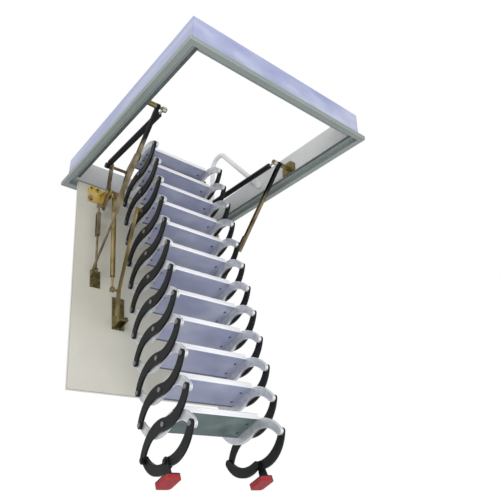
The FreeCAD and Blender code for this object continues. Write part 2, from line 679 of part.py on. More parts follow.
def arm(ways, bow, root, near, far):
    """An arm of one or two halves with its pivot holes; ways holds 1 for rear and -1 for front."""
    edges = []
    for way in ways:
        edges += half_outline(way, bow * way, root, len(ways) == 1)
    face = Part.Face(Part.Wire(edges))
    face.translate(Vector(near, 0, 0))
    solid = face.extrude(Vector(far - near, 0, 0))
    for y in [0] + [way * A for way in ways]:
        solid = solid.cut(rod(near - 1, far + 1, y, 0, size("bolt_hole") + RUN))
    return solid


def bolt(y, near, far):
    """A scissor bolt along X with its head outside."""
    return joined(rod(near, far, y, 0, size("bolt_hole")), rod(HEAD_IN, HEAD_OUT, y, 0, size("bolt_head")))


BLACK_BOW = 1
SILVER_BOW = -1
BOLT_IN = SILVER_IN + 0.2
ROOT = size("arm_mid")
black_full = arm((1, -1), BLACK_BOW, ROOT, BLACK_IN, BLACK_OUT)
black_half = arm((1,), BLACK_BOW, ROOT, BLACK_IN, BLACK_OUT)
silver_full = arm((1, -1), SILVER_BOW, ROOT, SILVER_IN, SILVER_OUT)
silver_half = arm((-1,), SILVER_BOW, ROOT, SILVER_IN, SILVER_OUT)
centre_bolt = bolt(0, BOLT_IN, HEAD_OUT)
front_bolt = bolt(-A, BOLT_IN, HEAD_OUT)
rear_bolt = bolt(A, BOLT_IN, HEAD_OUT)

# ---------------------------------------------------------------- scissor arms and treads
LEVEL = size("tread_base")
TOP = LEVEL + size("tread_deep")
FRONT = -size("tread_front")
REAR = size("tread_rear")
WEB = size("tread_wall")
BEVEL = 4
NOSE = 2
outline = [
    (FRONT, LEVEL + 1), (FRONT + 3, LEVEL - NOSE), (FRONT + 8, LEVEL - NOSE), (FRONT + 10, LEVEL),
    (REAR, LEVEL), (REAR, TOP), (FRONT + BEVEL, TOP), (FRONT, TOP - BEVEL),
]
third = (REAR - FRONT - 4 * WEB - NOSE) / 3
chambers = []
for number in range(3):
    start = FRONT + WEB + NOSE + number * (third + WEB)
    chambers.append([
        (start, LEVEL + WEB), (start + third, LEVEL + WEB), (start + third, TOP - WEB), (start, TOP - WEB),
    ])
TREAD_TILT = (size("full_angle") - size("open_angle")) * (1 - size("tilt_share"))

for stage in range(STAGES):
    label = "%02d" % (stage + 1)
    tread = sketched_body("tread_" + label, [outline] + chambers, "2 * S.tread_half")
    tread.Placement = at_pivot(stage, -TREAD_TILT)
    nodes.append(tread)
    if stage == 0:
        black = [black_half.copy()]
        silver = [silver_half.copy(), front_bolt.copy()]
    else:
        black = [black_full.copy()]
        silver = [silver_full.copy(), centre_bolt.copy(), front_bolt.copy(), rear_bolt.copy()]
    feature("black_arms_" + label, mirrored(black), at_pivot(stage, LADDER_TURN - size("open_angle")))
    feature("silver_arms_" + label, mirrored(silver), at_pivot(stage, LADDER_TURN + size("open_angle")))

# ---------------------------------------------------------------- foot links and feet
front_link = arm((-1,), BLACK_BOW, size("arm_end"), BLACK_IN, BLACK_OUT)
feature("foot_links_front", mirrored([front_link]), at_pivot(STAGES, LADDER_TURN - size("open_angle")))
EAR_IN = HEAD_IN + 0.2
EAR_OUT = EAR_IN + CAP
FOOT_PLATE = 3
foot_bolt = joined(
    rod(BOLT_IN, EAR_OUT + CAP, 0, 0, size("bolt_hole")),
    rod(EAR_OUT + SEAT, EAR_OUT + CAP, 0, 0, size("bolt_head")),
)
rear_link = arm((1,), SILVER_BOW, size("arm_end"), SILVER_IN, SILVER_OUT)
feature(
    "foot_links_rear", mirrored([rear_link, foot_bolt, rear_bolt.copy()]),
    at_pivot(STAGES, LADDER_TURN + size("open_angle")),
)
DROP = size("foot_drop")
foot_side = [(-18, -DROP - 2), (18, -DROP - 2), (11, 6), (5, 12), (-5, 12), (-11, 6)]
foot_ear = prism(foot_side, EAR_IN, EAR_OUT)
TOE = -size("foot_front")
HEEL = size("foot_rear")
FOOT_IN = EAR_IN - size("foot_inner")
FOOT_OUT = EAR_OUT + size("foot_outer")
FOOT_ROUND = 10


def foot_slab(low, high):
    """The foot's outline between two heights, with its four upright corners rounded."""
    block = prism(slab(TOE, HEEL, low, high), FOOT_IN, FOOT_OUT)
    uprights = [one for one in block.Edges if abs(one.tangentAt(one.FirstParameter).z) > 0.9]
    return block.makeFillet(FOOT_ROUND, uprights)


foot_plate = foot_slab(-DROP - FOOT_PLATE, -DROP)
foot = joined(foot_ear, foot_plate).cut(rod(EAR_IN - 1, EAR_OUT + 1, 0, 0, size("bolt_hole") + RUN))
feature("foot_brackets", mirrored([foot]), at_pivot(STAGES, -TREAD_TILT))
pad_top = -DROP - FOOT_PLATE
pad_low = pad_top - size("pad_thick")
foot_pad = foot_slab(pad_low, pad_top)
feature("foot_pads", mirrored([foot_pad]), at_pivot(STAGES, -TREAD_TILT))

# ---------------------------------------------------------------- prop arms
# A bent arm from the large bracket up to the ladder's fourth pivot, where it bears on the bolt head.
PROP_KNEE = (-514, 66)
PROP_TIP = on_hatch(pivot(3))
PROP_HALF = 11
prop = joined(
    plate_link(LARGE_PIN, PROP_KNEE, PROP_HALF, PROP_IN, PROP_OUT),
    plate_link(PROP_KNEE, PROP_TIP, PROP_HALF - 2, PROP_IN, PROP_OUT),
    rod(HEAD_OUT + SEAT, PROP_OUT, PROP_TIP[0], PROP_TIP[1], PROP_HALF - 3),
    rod(PROP_IN, SPRING_X - BEARING - size("side_gap"), PROP_KNEE[0], PROP_KNEE[1], PIN_RADIUS),
)
prop = prop.cut(rod(PROP_IN - 1, PROP_OUT + 1, LARGE_PIN[0], LARGE_PIN[1], PIN_RADIUS + RUN))
feature("prop_arms", mirrored([prop]), HATCH_PLACE)

# ---------------------------------------------------------------- steadying springs
# A spring tube hangs from the lug; its rod runs down to the prop arm's knee.
spring_long = span(LUG_PIN, PROP_KNEE)
SPRING_TUBE = 9
SPRING_ROD = 4
BORE_START = 60
spring_place = Placement(Vector(SPRING_X, 0, 0), Rotation()).multiply(aimed(LUG_PIN, PROP_KNEE))
spring_tube = joined(
    rod(-BEARING, BEARING, 0, 0, EYE),
    Part.makeCylinder(SPRING_TUBE, spring_long - 60, Vector(0, 8, 0), ALONG),
)
spring_tube = spring_tube.cut(rod(-BEARING - 1, BEARING + 1, 0, 0, PIN_RADIUS + RUN))
spring_bore = Part.makeCylinder(SPRING_ROD + 4 * RUN, spring_long, Vector(0, BORE_START, 0), ALONG)
spring_tube = spring_tube.cut(spring_bore)
spring_tube.Placement = spring_place
feature("spring_tubes", mirrored([spring_tube]), HATCH_PLACE)
spring_rod = joined(
    Part.makeCylinder(SPRING_ROD, spring_long - BORE_START - 36, Vector(0, BORE_START + 30, 0), ALONG),
    rod(-BEARING, BEARING, spring_long, 0, EYE),
)
spring_rod.Placement = spring_place
feature("spring_rods", mirrored([spring_rod]), HATCH_PLACE)

# ---------------------------------------------------------------- check and write
doc.recompute()
for item in doc.Objects:
    if "Invalid" in item.State or "Error" in item.State:
        raise RuntimeError("%s is in state %s" % (item.Label, item.State))
for node in nodes:
    if node.Shape.isNull() or not node.Shape.isValid():
        raise RuntimeError("%s has no valid shape" % node.Label)
    node.Shape.exportStep("parts/%s.step" % node.Label)
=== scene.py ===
import math

import bpy
import numpy as np
from mathutils import Matrix, Vector


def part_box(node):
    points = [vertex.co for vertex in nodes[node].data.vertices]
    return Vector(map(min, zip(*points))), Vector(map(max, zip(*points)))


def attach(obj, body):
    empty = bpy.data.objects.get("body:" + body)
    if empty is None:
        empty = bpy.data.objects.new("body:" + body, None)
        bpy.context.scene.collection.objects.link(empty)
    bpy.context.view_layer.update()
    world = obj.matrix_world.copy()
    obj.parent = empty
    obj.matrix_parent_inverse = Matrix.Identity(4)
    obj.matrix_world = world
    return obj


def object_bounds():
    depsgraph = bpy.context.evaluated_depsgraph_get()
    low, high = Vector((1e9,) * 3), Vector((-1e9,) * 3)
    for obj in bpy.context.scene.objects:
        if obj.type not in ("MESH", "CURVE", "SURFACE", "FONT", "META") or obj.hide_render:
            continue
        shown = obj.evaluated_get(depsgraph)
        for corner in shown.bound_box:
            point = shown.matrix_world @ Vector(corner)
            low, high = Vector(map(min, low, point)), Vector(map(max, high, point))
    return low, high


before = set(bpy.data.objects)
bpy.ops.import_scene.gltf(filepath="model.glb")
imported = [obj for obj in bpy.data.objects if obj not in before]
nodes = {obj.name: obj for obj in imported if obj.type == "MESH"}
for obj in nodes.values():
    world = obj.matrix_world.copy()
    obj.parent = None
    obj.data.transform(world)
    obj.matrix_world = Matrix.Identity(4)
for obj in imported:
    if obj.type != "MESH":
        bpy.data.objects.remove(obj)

cad_low, cad_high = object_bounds()

# ---- Frame walls -------------------------------------------------------------------------
# Four folded steel channels with mitred corners. The outer faces still carry a lavender
# protective film, laid on in long strips with faint ripples; the inner faces are bare paint.


def colour(hex_code):
    """Linear RGBA of an sRGB hex colour."""
    out = []
    for start in (0, 2, 4):
        part = int(hex_code[start:start + 2], 16) / 255
        out.append(part / 12.92 if part <= 0.04045 else ((part + 0.055) / 1.055) ** 2.4)
    return (*out, 1.0)


def add(tree, kind, settings):
    """Add a node. A key that names an input sets it, or links it if the value is a socket.

    The key stops fills a colour ramp from (place, hex colour) pairs; any other key is a property.
    """
    node = tree.nodes.new(kind)
    for key, value in settings.items():
        if key == "stops":
            band = node.color_ramp.elements
            for number, (place, code) in enumerate(value):
                stop = band[0] if number == 0 else band.new(place)
                stop.position, stop.color = place, colour(code)
            band.remove(band[len(band) - 1])
        elif not isinstance(key, int) and key not in node.inputs:
            setattr(node, key, value)
        elif isinstance(value, bpy.types.NodeSocket):
            tree.links.new(value, node.inputs[key])
        else:
            node.inputs[key].default_value = value
    return node


def finish(name, base, shader):
    """A material with a Principled shader set from a dictionary, its tree and its object space."""
    made = bpy.data.materials.new(name)
    made.use_nodes = True
    tree = made.node_tree
    body = tree.nodes["Principled BSDF"]
    body.inputs["Base Color"].default_value = colour(base)
    for key, value in shader.items():
        body.inputs[key].default_value = value
    place = add(tree, "ShaderNodeTexCoord", {}).outputs["Object"]
    return made, tree, body, place


def grain(tree, place, across, stretch=(1, 1, 1)):
    """Cloudy 0 to 1 pattern with features about across metres wide, squeezed along stretched axes."""
    mapped = add(tree, "ShaderNodeMapping", {"Scale": stretch, "Vector": place}).outputs[0]
    settings = {"Scale": 0.5 / across, "Detail": 4.0, "Vector": mapped}
    return add(tree, "ShaderNodeTexNoise", settings).outputs["Fac"]


def surface(tree, body, pattern, rough, depth):
    """Spread the roughness over a (low, high) range with a pattern, and raise it by a depth in metres."""
    spread = {"Value": pattern, "To Min": rough[0], "To Max": rough[1]}
    tree.links.new(add(tree, "ShaderNodeMapRange", spread).outputs[0], body.inputs["Roughness"])
    raised = {"Height": pattern, "Distance": depth, "Strength": 0.4}
    tree.links.new(add(tree, "ShaderNodeBump", raised).outputs[0], body.inputs["Normal"])


def give(made, *names):
    """Put one material on nodes of the frame in place of their plain ones."""
    for name in names:
        slots = nodes[name].data.materials
        slots.clear()
        slots.append(made)


WALL_FILM = [(0.32, "8E95BC"), (0.5, "A0A6C6"), (0.68, "B9BDD2")]
WALL_PAINT = [(0.3, "B4B6B9"), (0.7, "CACBCB")]
WALL_DEEP = 0.026
wall_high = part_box("frame_walls")[1]
filmed_wall, tree, body, place = finish("filmed_wall_sheet", "C4C5C6", {"IOR": 1.5})
ripple = grain(tree, place, 0.09, (1, 0.35, 2.5))
film = add(tree, "ShaderNodeValToRGB", {"Fac": ripple, "stops": WALL_FILM}).outputs[0]
paint = add(tree, "ShaderNodeValToRGB", {"Fac": grain(tree, place, 0.12), "stops": WALL_PAINT}).outputs[0]
parts = add(tree, "ShaderNodeSeparateXYZ", {"Vector": place}).outputs
over = []
for axis, limit in (("X", wall_high.x), ("Y", wall_high.y)):
    reach = add(tree, "ShaderNodeMath", {"operation": "ABSOLUTE", 0: parts[axis]}).outputs[0]
    settings = {"operation": "GREATER_THAN", 0: reach, 1: limit - WALL_DEEP / 2}
    over.append(add(tree, "ShaderNodeMath", settings).outputs[0])
outside = add(tree, "ShaderNodeMath", {"operation": "MAXIMUM", 0: over[0], 1: over[1]}).outputs[0]
skin = add(tree, "ShaderNodeMix", {"data_type": "RGBA", 0: outside, 6: paint, 7: film})
tree.links.new(skin.outputs[2], body.inputs["Base Color"])
surface(tree, body, ripple, (0.26, 0.48), 0.0008)
give(filmed_wall, "frame_walls")

# ---- Flange and lip ----------------------------------------------------------------------
# One folded and corner-welded steel ring under the walls. Grey-green powder coat, with a
# fine orange-peel grain, and a pale cream on every edge that is a painted highlight on the folds.


def edges(tree, width):
    """1 on edges and 0 on flats: how far the normal turns when it is rounded over a width in metres."""
    flat = add(tree, "ShaderNodeNewGeometry", {}).outputs["Normal"]
    soft = add(tree, "ShaderNodeBevel", {"Radius": width, "samples": 4}).outputs[0]
    gap = add(tree, "ShaderNodeVectorMath", {"operation": "DISTANCE", 0: flat, 1: soft})
    return add(tree, "ShaderNodeMapRange", {"Value": gap.outputs["Value"], "From Max": 0.5}).outputs[0]


LIP_TONES = [(0.35, "7F8988"), (0.65, "8C9694")]
LIP_EDGE_HIGHLIGHT = "C4C4B8"
lip_paint, tree, body, place = finish("powder_coated_lip", "858F8D", {"IOR": 1.5})
tone = add(tree, "ShaderNodeValToRGB", {"Fac": grain(tree, place, 0.15), "stops": LIP_TONES}).outputs[0]
# Every edge is blended to pale cream: a painted highlight.
painted_edge_highlight = edges(tree, 0.0016)
skin = add(tree, "ShaderNodeMix", {"data_type": "RGBA", 0: painted_edge_highlight, 6: tone, 7: colour(LIP_EDGE_HIGHLIGHT)})
tree.links.new(skin.outputs[2], body.inputs["Base Color"])
surface(tree, body, grain(tree, place, 0.0016), (0.38, 0.52), 0.0001)
give(lip_paint, "frame_flange")

# ---- Seal --------------------------------------------------------------------------------
# A thin strip under the ledge, dark slate grey with a dusty bloom.

LEDGE_STRIP_TONES = [(0.4, "4A5150"), (0.75, "5C6463")]
ledge_strip_finish, tree, body, place = finish("dark_ledge_strip", "515857", {"IOR": 1.52})
dust = grain(tree, place, 0.02)
tone = add(tree, "ShaderNodeValToRGB", {"Fac": dust, "stops": LEDGE_STRIP_TONES})
tree.links.new(tone.outputs[0], body.inputs["Base Color"])
surface(tree, body, dust, (0.7, 0.9), 0.0002)
give(ledge_strip_finish, "seal_strip")

# ---- Handrail ----------------------------------------------------------------------------
# A bent steel tube with flattened ends, white powder coat, glossy with a slight orange peel.


def powder_coat(name, tones, patch, rough):
    """Powder coat over steel: three tones drifting over patches, and a fine peel in the gloss."""
    made, tree, body, place = finish(name, tones[1], {"IOR": 1.5})
    stops = [(0.32, tones[0]), (0.5, tones[1]), (0.7, tones[2])]
    tone = add(tree, "ShaderNodeValToRGB", {"Fac": grain(tree, place, patch), "stops": stops})
    tree.links.new(tone.outputs[0], body.inputs["Base Color"])
    surface(tree, body, grain(tree, place, 0.0018), rough, 0.00015)
    return made


give(powder_coat("white_powder_coat", ("C9CBCF", "D3D5D8", "DDDEDF"), 0.05, (0.24, 0.38)), "handrail")

# ---- Hatch -------------------------------------------------------------------------------
# A shallow sheet tray with a board core and a cover sheet, in warm cream powder coat with soft
# blotches. The tray is a lighter copy of the cream, painted light on its folded rim, and a dark strip
# round the rim is a painted shadow line.

give(powder_coat("cream_hatch_sheet", ("B2B0A4", "BEBCB0", "C9C7BD"), 0.22, (0.36, 0.5)), "hatch_cover")
# The tray takes a lighter copy of the cover's cream: painted light on its folded rim.
give(powder_coat("cream_tray_sheet_lit_copy", ("C6C4BA", "D0CEC6", "D8D6CF"), 0.2, (0.34, 0.48)), "hatch_shell")

BOARD_TONES = [(0.3, "A08B66"), (0.7, "C8B68F")]
core_board, tree, body, place = finish("insulating_board", "B9A57F", {"IOR": 1.45})
fibre = grain(tree, place, 0.003, (0.2, 1, 1))
tone = add(tree, "ShaderNodeValToRGB", {"Fac": fibre, "stops": BOARD_TONES})
tree.links.new(tone.outputs[0], body.inputs["Base Color"])
surface(tree, body, fibre, (0.75, 0.95), 0.0004)
give(core_board, "hatch_core")

HINGE_AXIS = Vector((0, 0.418, 0.010))
HATCH_TURN = math.radians(77.8)


def on_hatch(points):
    """Row-frame points from hatch points: x across, y toward the hinge, z off the hatch's middle.

    Each is turned about X by the hatch's angle and then moved to the hinge axis.
    """
    points = np.asarray(points, float)
    flat = points[..., 1] * math.cos(HATCH_TURN) - points[..., 2] * math.sin(HATCH_TURN)
    tall = points[..., 1] * math.sin(HATCH_TURN) + points[..., 2] * math.cos(HATCH_TURN)
    return np.stack([points[..., 0], flat + HINGE_AXIS.y, tall + HINGE_AXIS.z], axis=-1)


def piece(name, grids, made, rides, closed):
    """A mesh from grids of points, each (rows, columns, 3), with quads between neighbours.

    When closed, the last column joins the first. The piece gets a material and a body.
    """
    points, faces, first = [], [], 0
    for grid in grids:
        rows, columns = grid.shape[:2]
        points.append(grid.reshape(-1, 3))
        spans = columns if closed else columns - 1
        row, column = np.meshgrid(np.arange(rows - 1), np.arange(spans), indexing="ij")
        near = first + row * columns + column
        far = first + row * columns + (column + 1) % columns
        faces.append(np.stack([near, far, far + columns, near + columns], axis=-1).reshape(-1, 4))
        first += rows * columns
    mesh = bpy.data.meshes.new(name)
    mesh.from_pydata(np.concatenate(points).tolist(), [], np.concatenate(faces).tolist())
    mesh.shade_smooth()
    mesh.materials.append(made)
    item = bpy.data.objects.new(name, mesh)
    bpy.context.scene.collection.objects.link(item)
    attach(item, rides)
    return item


SHADOW_LINE_LOW, SHADOW_LINE_HIGH = 0.0018, 0.0034
SHADOW_LINE_PROUD = 0.0005
HATCH_HALF, HATCH_NEAR, HATCH_FAR = 0.319, -0.008, -0.861
# Dark grey for the thin strip round the hatch rim: a painted shadow line at its edge.
rim_shadow_dark, tree, body, place = finish("painted_rim_shadow_line", "35383A", {"IOR": 1.48})
surface(tree, body, grain(tree, place, 0.004), (0.55, 0.75), 0.0001)
path = [
    (HATCH_HALF, HATCH_NEAR), (HATCH_HALF, HATCH_FAR),
    (-HATCH_HALF, HATCH_FAR), (-HATCH_HALF, HATCH_NEAR),
]
crest = (SHADOW_LINE_LOW + SHADOW_LINE_HIGH) / 2
rows = []
for x, y in path:
    out_x = math.copysign(SHADOW_LINE_PROUD, x)
    out_y = -SHADOW_LINE_PROUD if y == HATCH_FAR else 0
    rows.append([
        (x, y, SHADOW_LINE_LOW), (x + out_x, y + out_y, crest), (x, y, SHADOW_LINE_HIGH),
        (x - out_x, y - out_y, SHADOW_LINE_HIGH), (x - out_x, y - out_y, SHADOW_LINE_LOW),
    ])
piece("hatch_rim_shadow_line", [on_hatch(np.array(rows))], rim_shadow_dark, "hatch", True)

# ---- Zinc-plated steel -------------------------------------------------------------------
# Pressed plates, cranks, stays, tubes and turnbuckles in yellow-passivated zinc: the chromate
# film drifts from straw gold to olive and pink, and every edge is paler, a painted highlight.


def zinc(name, stops, across, rough, swap=None):
    """Yellow zinc: a film drifting through tones, rolling streaks, and paler edges that are a painted
    highlight.

    swap is (height, other tones): below that height in metres the other tones are used.
    """
    made, tree, body, place = finish(name, stops[1][1], {"Metallic": 1.0})
    drift = grain(tree, place, across)
    film = add(tree, "ShaderNodeValToRGB", {"Fac": drift, "stops": stops}).outputs[0]
    if swap:
        other = add(tree, "ShaderNodeValToRGB", {"Fac": drift, "stops": swap[1]}).outputs[0]
        tall = add(tree, "ShaderNodeSeparateXYZ", {"Vector": place}).outputs["Z"]
        below = add(tree, "ShaderNodeMath", {"operation": "LESS_THAN", 0: tall, 1: swap[0]}).outputs[0]
        film = add(tree, "ShaderNodeMix", {"data_type": "RGBA", 0: below, 6: film, 7: other}).outputs[2]
    # Every edge is blended halfway to a pale straw: a painted highlight.
    settings = {"operation": "MULTIPLY", 0: edges(tree, 0.0009), 1: 0.5}
    painted_edge_sheen = add(tree, "ShaderNodeMath", settings).outputs[0]
    skin = add(tree, "ShaderNodeMix", {"data_type": "RGBA", 0: painted_edge_sheen, 6: film, 7: colour("DCD3B4")})
    tree.links.new(skin.outputs[2], body.inputs["Base Color"])
    surface(tree, body, grain(tree, place, 0.0025, (1, 1, 0.12)), rough, 0.0001)
    return made


GOLD = [(0.3, "9A8140"), (0.45, "D6BC62"), (0.57, "E3CE86"), (0.7, "C88F7A")]
OLIVE = [(0.3, "5E5636"), (0.5, "857A50"), (0.7, "74684A")]
BRONZE = [(0.3, "4E4433"), (0.5, "7C6E54"), (0.7, "948870")]
TUBE = [(0.3, "6E6140"), (0.5, "9A8858"), (0.7, "B2A074")]
HINGE_PLATE_BASE = -0.16
plate_zinc = zinc("yellow_zinc_plate", GOLD, 0.02, (0.3, 0.5), (HINGE_PLATE_BASE, OLIVE))
olive_zinc = zinc("olive_zinc_plate", OLIVE, 0.02, (0.36, 0.56))
bronze_zinc = zinc("bronze_zinc_bar", BRONZE, 0.02, (0.34, 0.54))
tube_zinc = zinc("gold_zinc_tube", TUBE, 0.03, (0.3, 0.5))
give(plate_zinc, "hatch_brackets")
give(olive_zinc, "frame_fittings")
give(bronze_zinc, "hinge_leaves", "cranks", "ladder_carrier", "turnbuckles", "stay_bars")
give(tube_zinc, "spring_tubes", "spring_rods", "prop_arms")

# ---- Stay channels -----------------------------------------------------------------------
# The same zinc, with a black band over the upper third, next to the frame's pin, that is painted shade.

STAY_PAINTED_SHADE = "17191A"
stay_low, stay_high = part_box("stay_channels")
SHADE_LINE = stay_high.z - 0.36 * (stay_high.z - stay_low.z)
stay_zinc, tree, body, place = finish("zinc_channel_painted_shade", BRONZE[1][1], {"Metallic": 0.8})
film = add(tree, "ShaderNodeValToRGB", {"Fac": grain(tree, place, 0.02), "stops": BRONZE}).outputs[0]
tall = add(tree, "ShaderNodeSeparateXYZ", {"Vector": place}).outputs["Z"]
# Above the line the zinc blends to near black over 2 cm: painted shade on the upper third.
shade_blend = add(tree, "ShaderNodeMapRange", {
    "Value": tall, "From Min": SHADE_LINE - 0.01, "From Max": SHADE_LINE + 0.01,
}).outputs[0]
skin = add(tree, "ShaderNodeMix", {"data_type": "RGBA", 0: shade_blend, 6: film, 7: colour(STAY_PAINTED_SHADE)})
tree.links.new(skin.outputs[2], body.inputs["Base Color"])
surface(tree, body, grain(tree, place, 0.0025, (1, 1, 0.12)), (0.36, 0.56), 0.0001)
give(stay_zinc, "stay_channels")

# ---- Bracket screws ----------------------------------------------------------------------
# Round-headed machine screws through the corners of each hatch plate, dark passivated zinc.

HEAD_SIDES = 20


def turned(profile, centre, axis, side):
    """A surface of revolution: each (radius, height) of the profile, swept round the axis.

    The point at angle t is centre + height * axis + radius * (cos t * side + sin t * axis x side).
    """
    angles = np.arange(HEAD_SIDES) * (2 * math.pi / HEAD_SIDES)
    other = np.cross(axis, side)
    around = np.cos(angles)[:, None] * side + np.sin(angles)[:, None] * other
    rows = [centre + height * axis + radius * around for radius, height in profile]
    return np.array(rows)


PLATE_FACE = 0.008
HEAD_PROFILE = [
    (0.0052, 0.0), (0.0052, 0.0012), (0.0046, 0.0026), (0.0030, 0.0034),
    (0.0021, 0.0034), (0.0015, 0.0018), (0.00001, 0.0018),
]
PLATE_SCREWS = [
    (0.266, -0.022), (0.266, -0.083), (0.240, -0.022),
    (0.227, -0.450), (0.253, -0.450), (0.227, -0.476), (0.253, -0.476),
    (0.133, -0.512), (0.169, -0.512), (0.151, -0.540), (0.151, -0.626),
]
off = on_hatch([0, 0, 1]) - on_hatch([0, 0, 0])
screw_zinc = zinc("dark_screw_zinc", [(0.3, "4A4436"), (0.7, "6E6450")], 0.006, (0.34, 0.5))
heads = []
for x, y in PLATE_SCREWS:
    for side in (-1, 1):
        heads.append(turned(HEAD_PROFILE, on_hatch([side * x, y, PLATE_FACE]), off, np.array([1.0, 0, 0])))
piece("bracket_screws", heads, screw_zinc, "hatch", True)

# ---- Gas springs -------------------------------------------------------------------------
# A polished rod in a cylinder of satin black stove enamel, smooth and slightly glossy.

rod_steel, tree, body, place = finish("polished_rod_steel", "C4C5C6", {"Metallic": 1.0})
surface(tree, body, grain(tree, place, 0.001, (0.2, 1, 1)), (0.12, 0.26), 0.00001)
give(rod_steel, "gas_rods")


def enamel(name, base, lift, rough):
    """Satin black enamel: cloudy handling marks, and thin paler edges that are a painted sheen."""
    made, tree, body, place = finish(name, base, {"IOR": 1.45, "Specular IOR Level": 0.22})
    stops = [(0.35, base), (0.75, lift)]
    tone = add(tree, "ShaderNodeValToRGB", {"Fac": grain(tree, place, 0.03), "stops": stops}).outputs[0]
    # Edges are blended toward grey: a painted sheen.
    settings = {"operation": "MULTIPLY", 0: edges(tree, 0.0012), 1: 0.4}
    painted_edge_sheen = add(tree, "ShaderNodeMath", settings).outputs[0]
    skin = add(tree, "ShaderNodeMix", {"data_type": "RGBA", 0: painted_edge_sheen, 6: tone, 7: colour("3E4144")})
    tree.links.new(skin.outputs[2], body.inputs["Base Color"])
    surface(tree, body, grain(tree, place, 0.0012), rough, 0.0001)
    return made


give(enamel("black_cylinder_enamel", "101213", "1E2022", (0.3, 0.44)), "gas_cylinders")

# ---- Black arms and feet -----------------------------------------------------------------
# Pressed steel arms, foot links and foot brackets in a near-black satin enamel.

arm_enamel = enamel("satin_black_enamel", "0B0D0E", "181B1C", (0.38, 0.52))
give(arm_enamel, "foot_links_front", "foot_links_rear", "foot_brackets")
give(arm_enamel, *["black_arms_%02d" % number for number in range(1, 13)])

# ---- Silver arms -------------------------------------------------------------------------
# Die-cast aluminium, tumbled and clear-lacquered: a grey web whose rounded edges carry a near-white
# painted highlight. The scissor bolts belong to these pieces; their heads, outside the black arms, are
# plain steel.

BOLT_HEADS = 0.1572
BOLT_STEEL = "7C7D7E"
CAST = [(0.3, "B2B6BC"), (0.55, "C6C9CE"), (0.75, "D6D8DC")]
cast_silver, tree, body, place = finish("die_cast_aluminium", CAST[1][1], {"Metallic": 0.6})
tone = add(tree, "ShaderNodeValToRGB", {"Fac": grain(tree, place, 0.012), "stops": CAST}).outputs[0]
# Every edge and ridge is blended to near white: a painted highlight.
painted_edge_highlight = edges(tree, 0.004)
skin = add(tree, "ShaderNodeMix", {"data_type": "RGBA", 0: painted_edge_highlight, 6: tone, 7: colour("FAFAFB")}).outputs[2]
across = add(tree, "ShaderNodeSeparateXYZ", {"Vector": place}).outputs["X"]
reach = add(tree, "ShaderNodeMath", {"operation": "ABSOLUTE", 0: across}).outputs[0]
heads = add(tree, "ShaderNodeMath", {"operation": "GREATER_THAN", 0: reach, 1: BOLT_HEADS}).outputs[0]
skin = add(tree, "ShaderNodeMix", {"data_type": "RGBA", 0: heads, 6: skin, 7: colour(BOLT_STEEL)})
tree.links.new(skin.outputs[2], body.inputs["Base Color"])
surface(tree, body, grain(tree, place, 0.0014), (0.32, 0.48), 0.00015)
give(cast_silver, *["silver_arms_%02d" % number for number in range(1, 13)])

# ---- Treads ------------------------------------------------------------------------------
# Hollow extruded aluminium. The nosing is bare; the underside still has its lavender film, with
# faint creases. The last tread's film is a dark grey-green. A vinyl strip edges the back.


def tread_finish(name, film):
    """Bare drawn aluminium in front and on top, and creased film wherever the surface faces down."""
    made, tree, body, place = finish(name, "DDDFE6", {"Metallic": 0.2})
    crease = grain(tree, place, 0.04, (0.6, 1, 1))
    stops = [(0.3, film[0]), (0.5, film[1]), (0.72, film[2])]
    filmed = add(tree, "ShaderNodeValToRGB", {"Fac": crease, "stops": stops}).outputs[0]
    drawn = grain(tree, place, 0.002, (0.03, 1, 1))
    stops = [(0.3, "E2E3E8"), (0.7, "F2F3F6")]
    bare = add(tree, "ShaderNodeValToRGB", {"Fac": drawn, "stops": stops}).outputs[0]
    facing = add(tree, "ShaderNodeTexCoord", {}).outputs["Normal"]
    tall = add(tree, "ShaderNodeSeparateXYZ", {"Vector": facing}).outputs["Z"]
    under = add(tree, "ShaderNodeMath", {"operation": "LESS_THAN", 0: tall, 1: -0.5}).outputs[0]
    skin = add(tree, "ShaderNodeMix", {"data_type": "RGBA", 0: under, 6: bare, 7: filmed})
    tree.links.new(skin.outputs[2], body.inputs["Base Color"])
    surface(tree, body, crease, (0.28, 0.46), 0.0006)
    return made


tread_lavender = tread_finish("filmed_tread", ("949AB8", "A2A7C2", "B8BCD0"))
give(tread_lavender, *["tread_%02d" % number for number in range(1, 12)])
give(tread_finish("dark_filmed_tread", ("465758", "546765", "738884")), "tread_12")

FIRST_PIVOT = Vector((0, 0.250, 0.098))
STAGE_GAP = 0.1002
SLOPE = math.radians(72.85)
TREAD_TILT = math.radians(-23.2)
UNDERSIDE = 0.010
TREAD_BACK = 0.058
TREAD_HALF = 0.1397


def on_tread(stage, points):
    """Row-frame points from a tread's own: turned about X by its tilt, then moved to its pivot."""
    points = np.asarray(points, float)
    pivot_y = FIRST_PIVOT.y - stage * STAGE_GAP * math.cos(SLOPE)
    pivot_z = FIRST_PIVOT.z - stage * STAGE_GAP * math.sin(SLOPE)
    flat = points[..., 1] * math.cos(TREAD_TILT) - points[..., 2] * math.sin(TREAD_TILT)
    tall = points[..., 1] * math.sin(TREAD_TILT) + points[..., 2] * math.cos(TREAD_TILT)
    return np.stack([points[..., 0], flat + pivot_y, tall + pivot_z], axis=-1)


